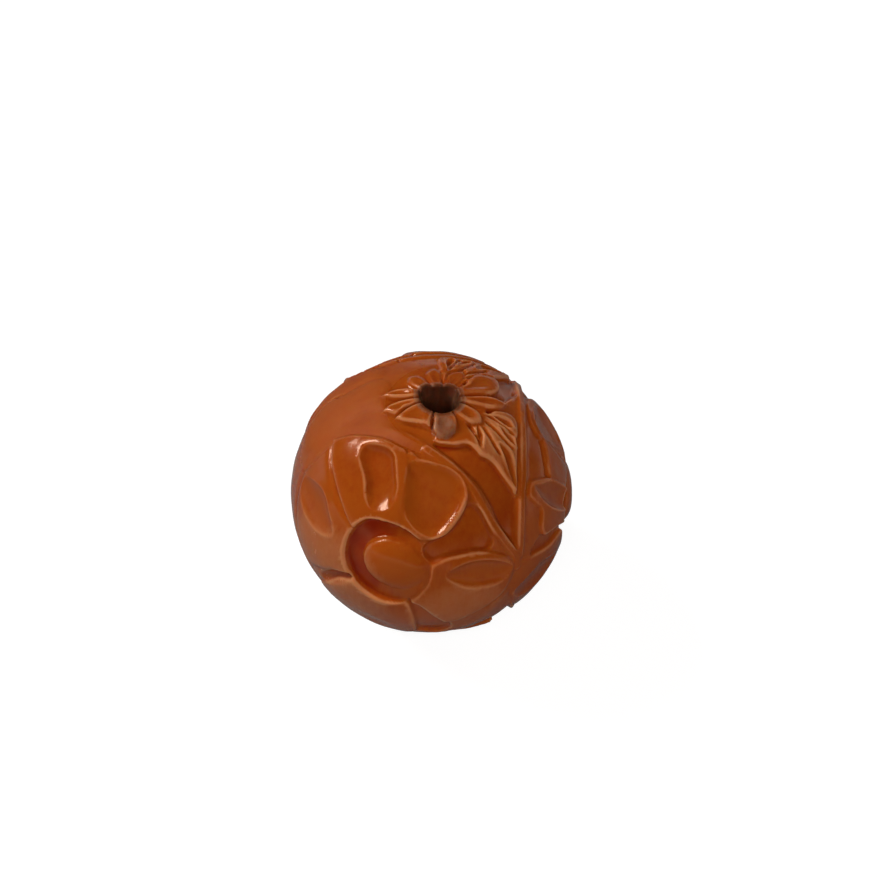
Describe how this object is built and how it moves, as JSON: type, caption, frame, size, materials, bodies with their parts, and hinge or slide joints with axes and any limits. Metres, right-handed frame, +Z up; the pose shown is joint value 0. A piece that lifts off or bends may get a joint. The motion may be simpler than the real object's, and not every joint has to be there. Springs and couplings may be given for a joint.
{
  "type": "carved bead",
  "caption": "Round resin bead drilled through, its surface carved in relief with blossoms in raised borders, leaves, and a rosette of leaflets round each mouth of the bore.",
  "frame": {"origin": "on the axis of the bore, in the plane of the flat lower end face that the bead stands on", "axes": "+Z up along the bore, from the lower end face to the upper one; -Y toward the button of the first blossom"},
  "size_m": [0.0197, 0.0198, 0.0194],
  "materials": {
    "resin": "Hand-polished cast phenolic resin, slightly see-through, orange brown, darker in the cuts."
  },
  "bodies": {
    "root": {"carved_bead": "resin"}
  },
  "joints": []
}
